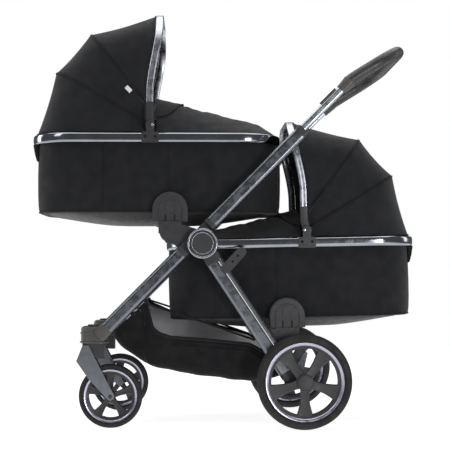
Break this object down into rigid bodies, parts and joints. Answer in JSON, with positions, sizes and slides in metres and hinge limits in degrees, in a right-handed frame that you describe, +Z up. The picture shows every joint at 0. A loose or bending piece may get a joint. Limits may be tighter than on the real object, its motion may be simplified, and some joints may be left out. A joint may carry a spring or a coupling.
{
  "type": "tandem pram",
  "caption": "Folding four-wheel pram with two carrycots, one above and one below, each with a folding hood, over a shopping basket",
  "frame": {"origin": "on the floor under the middle of the bounding box", "axes": "+X to the rear of the pram, +Y to its right side, +Z up"},
  "size_m": [1.1332, 0.59, 1.2151],
  "materials": {
    "frame_metal": "satin gunmetal",
    "rail_metal": "polished dark anodised",
    "bright_metal": "mirror",
    "stay_steel": "plain wire",
    "dark_plastic": "fine moulded grain",
    "grey_plastic": "satin",
    "axle_plastic": "satin",
    "wheel_plastic": "satin",
    "tyre_rubber": "foam rubber with fine ribs",
    "grip_leather": "stitched leatherette",
    "shell_fabric": "close plain weave",
    "hood_fabric": "close plain weave",
    "basket_fabric": "coated weave with a heather lining",
    "mattress_cloth": "quilted"
  },
  "bodies": {
    "rear_frame": {"rear_legs": "frame_metal", "rear_knuckles": "dark_plastic", "hub_discs": "dark_plastic", "hub_rings": "bright_metal", "axle_housings": "axle_plastic", "rear_axle": "frame_metal", "tandem_brackets": "dark_plastic", "basket": "basket_fabric", "seat_adapters": "dark_plastic"},
    "brake": {"brake_pedal": "frame_metal"},
    "handle_frame": {"handle_tubes": "frame_metal", "handle_knuckles": "dark_plastic", "handle_collars": "dark_plastic"},
    "handle_slider": {"handle_bar": "frame_metal", "grip_connectors": "grey_plastic", "handle_grip": "grip_leather"},
    "trigger_left": {"fold_trigger_left": "dark_plastic"},
    "trigger_right": {"fold_trigger_right": "dark_plastic"},
    "front_frame": {"front_legs": "frame_metal", "front_knuckles": "dark_plastic", "castor_housings": "grey_plastic", "front_crossbar": "frame_metal"},
    "castor_left": {"castor_body_left": "dark_plastic"},
    "arm_left": {"suspension_arm_left": "frame_metal"},
    "front_wheel_left": {"front_left_wheel": "wheel_plastic", "front_left_tyre": "tyre_rubber"},
    "rear_wheel_left": {"rear_left_wheel": "wheel_plastic", "rear_left_tyre": "tyre_rubber"},
    "castor_right": {"castor_body_right": "dark_plastic"},
    "arm_right": {"suspension_arm_right": "frame_metal"},
    "front_wheel_right": {"front_right_wheel": "wheel_plastic", "front_right_tyre": "tyre_rubber"},
    "rear_wheel_right": {"rear_right_wheel": "wheel_plastic", "rear_right_tyre": "tyre_rubber"},
    "upper_cot": {"upper_rail": "rail_metal", "upper_tub": "shell_fabric", "upper_base": "dark_plastic", "upper_mattress": "mattress_cloth", "upper_apron": "hood_fabric", "upper_fittings": "dark_plastic", "upper_canopy": "hood_fabric"},
    "upper_hood_rear": {"upper_rear_stay": "stay_steel"},
    "upper_hood_mid": {"upper_mid_stay": "stay_steel"},
    "upper_hood_bow": {"upper_bow": "rail_metal", "upper_bow_ends": "dark_plastic"},
    "upper_release_left": {"upper_button_left": "dark_plastic"},
    "upper_release_right": {"upper_button_right": "dark_plastic"},
    "lower_cot": {"lower_rail": "rail_metal", "lower_tub": "shell_fabric", "lower_base": "dark_plastic", "lower_mattress": "mattress_cloth", "lower_apron": "hood_fabric", "lower_fittings": "dark_plastic", "lower_canopy": "hood_fabric"},
    "lower_hood_rear": {"lower_rear_stay": "stay_steel"},
    "lower_hood_mid": {"lower_mid_stay": "stay_steel"},
    "lower_hood_bow": {"lower_bow": "rail_metal", "lower_bow_ends": "dark_plastic"},
    "lower_release_left": {"lower_button_left": "dark_plastic"},
    "lower_release_right": {"lower_button_right": "dark_plastic"}
  },
  "joints": [
    {"name": "chassis_fold", "type": "hinge", "parent": "rear_frame", "child": "handle_frame", "pos_m": [-0.063, 0, 0.526], "axis": [0, -1, 0], "range_deg": [0, 140], "deforming": ["basket"]},
    {"name": "front_leg_fold", "type": "hinge", "parent": "rear_frame", "child": "front_frame", "pos_m": [-0.063, 0, 0.526], "axis": [0, -1, 0], "range_deg": [0, 42]},
    {"name": "handle_extend", "type": "slide", "parent": "handle_frame", "child": "handle_slider", "axis": [0.7046, 0, 0.7096], "range_m": [-0.085, 0]},
    {"name": "brake_press", "type": "hinge", "parent": "rear_frame", "child": "brake", "pos_m": [0.225, 0, 0.135], "axis": [0, 1, 0], "range_deg": [0, 16]},
    {"name": "fold_trigger_left", "type": "slide", "parent": "handle_slider", "child": "trigger_left", "axis": [0.7046, 0, 0.7096], "range_m": [0, 0.006], "stiffness_N_per_m": 600, "springref_m": -0.004},
    {"name": "castor_swivel_left", "type": "hinge", "parent": "front_frame", "child": "castor_left", "pos_m": [-0.372, -0.212, 0.241], "axis": [0, 0, 1], "continuous": true},
    {"name": "suspension_left", "type": "hinge", "parent": "castor_left", "child": "arm_left", "pos_m": [-0.393, -0.212, 0.223], "axis": [0, -1, 0], "range_deg": [0, 6], "stiffness_Nm_per_rad": 60, "springref_deg": -5.16},
    {"name": "front_wheel_spin_left", "type": "hinge", "parent": "arm_left", "child": "front_wheel_left", "pos_m": [-0.325, -0.212, 0.091], "axis": [0, 1, 0], "continuous": true},
    {"name": "rear_wheel_spin_left", "type": "hinge", "parent": "rear_frame", "child": "rear_wheel_left", "pos_m": [0.225, -0.272, 0.135], "axis": [0, 1, 0], "continuous": true},
    {"name": "fold_trigger_right", "type": "slide", "parent": "handle_slider", "child": "trigger_right", "axis": [0.7046, 0, 0.7096], "range_m": [0, 0.006], "stiffness_N_per_m": 600, "springref_m": -0.004},
    {"name": "castor_swivel_right", "type": "hinge", "parent": "front_frame", "child": "castor_right", "pos_m": [-0.372, 0.212, 0.241], "axis": [0, 0, 1], "continuous": true},
    {"name": "suspension_right", "type": "hinge", "parent": "castor_right", "child": "arm_right", "pos_m": [-0.393, 0.212, 0.223], "axis": [0, -1, 0], "range_deg": [0, 6], "stiffness_Nm_per_rad": 60, "springref_deg": -5.16},
    {"name": "front_wheel_spin_right", "type": "hinge", "parent": "arm_right", "child": "front_wheel_right", "pos_m": [-0.325, 0.212, 0.091], "axis": [0, 1, 0], "continuous": true},
    {"name": "rear_wheel_spin_right", "type": "hinge", "parent": "rear_frame", "child": "rear_wheel_right", "pos_m": [0.225, 0.272, 0.135], "axis": [0, 1, 0], "continuous": true},
    {"name": "upper_cot_lift", "type": "slide", "parent": "rear_frame", "child": "upper_cot", "axis": [0, 0, 1], "range_m": [0, 0.45]},
    {"name": "upper_hood_fold", "type": "hinge", "parent": "upper_cot", "child": "upper_hood_rear", "pos_m": [-0.2145, 0, 0.87], "axis": [0, -1, 0], "range_deg": [0, 23], "deforming": ["upper_canopy"]},
    {"name": "upper_hood_mid_fold", "type": "hinge", "parent": "upper_hood_rear", "child": "upper_hood_mid", "pos_m": [-0.2145, 0, 0.87], "axis": [0, -1, 0], "range_deg": [0, 20.5]},
    {"name": "upper_hood_bow_fold", "type": "hinge", "parent": "upper_hood_mid", "child": "upper_hood_bow", "pos_m": [-0.2145, 0, 0.87], "axis": [0, -1, 0], "range_deg": [0, 31.5]},
    {"name": "upper_release_left", "type": "slide", "parent": "upper_cot", "child": "upper_release_left", "axis": [0, 1, 0], "range_m": [0, 0.0025], "stiffness_N_per_m": 1500, "springref_m": -0.002},
    {"name": "upper_release_right", "type": "slide", "parent": "upper_cot", "child": "upper_release_right", "axis": [0, -1, 0], "range_m": [0, 0.0025], "stiffness_N_per_m": 1500, "springref_m": -0.002},
    {"name": "lower_cot_lift", "type": "slide", "parent": "rear_frame", "child": "lower_cot", "axis": [-0.0209, 0, 0.9998], "range_m": [0, 0.18]},
    {"name": "lower_hood_fold", "type": "hinge", "parent": "lower_cot", "child": "lower_hood_rear", "pos_m": [0.23882, 0, 0.56614], "axis": [0, 1, 0], "range_deg": [0, 23], "deforming": ["lower_canopy"]},
    {"name": "lower_hood_mid_fold", "type": "hinge", "parent": "lower_hood_rear", "child": "lower_hood_mid", "pos_m": [0.23882, 0, 0.56614], "axis": [0, 1, 0], "range_deg": [0, 20.5]},
    {"name": "lower_hood_bow_fold", "type": "hinge", "parent": "lower_hood_mid", "child": "lower_hood_bow", "pos_m": [0.23882, 0, 0.56614], "axis": [0, 1, 0], "range_deg": [0, 31.5]},
    {"name": "lower_release_left", "type": "slide", "parent": "lower_cot", "child": "lower_release_left", "axis": [0, 1, 0], "range_m": [0, 0.0025], "stiffness_N_per_m": 1500, "springref_m": -0.002},
    {"name": "lower_release_right", "type": "slide", "parent": "lower_cot", "child": "lower_release_right", "axis": [0, -1, 0], "range_m": [0, 0.0025], "stiffness_N_per_m": 1500, "springref_m": -0.002}
  ],
  "couplings": [
    {"joint": "front_leg_fold", "follows": "chassis_fold", "ratio": 0.3},
    {"joint": "upper_hood_mid_fold", "follows": "upper_hood_fold", "ratio": 0.87},
    {"joint": "upper_hood_bow_fold", "follows": "upper_hood_fold", "ratio": 1.35},
    {"joint": "lower_cot_lift", "follows": "upper_cot_lift", "ratio": 0.4},
    {"joint": "lower_hood_mid_fold", "follows": "lower_hood_fold", "ratio": 0.87},
    {"joint": "lower_hood_bow_fold", "follows": "lower_hood_fold", "ratio": 1.35}
  ]
}
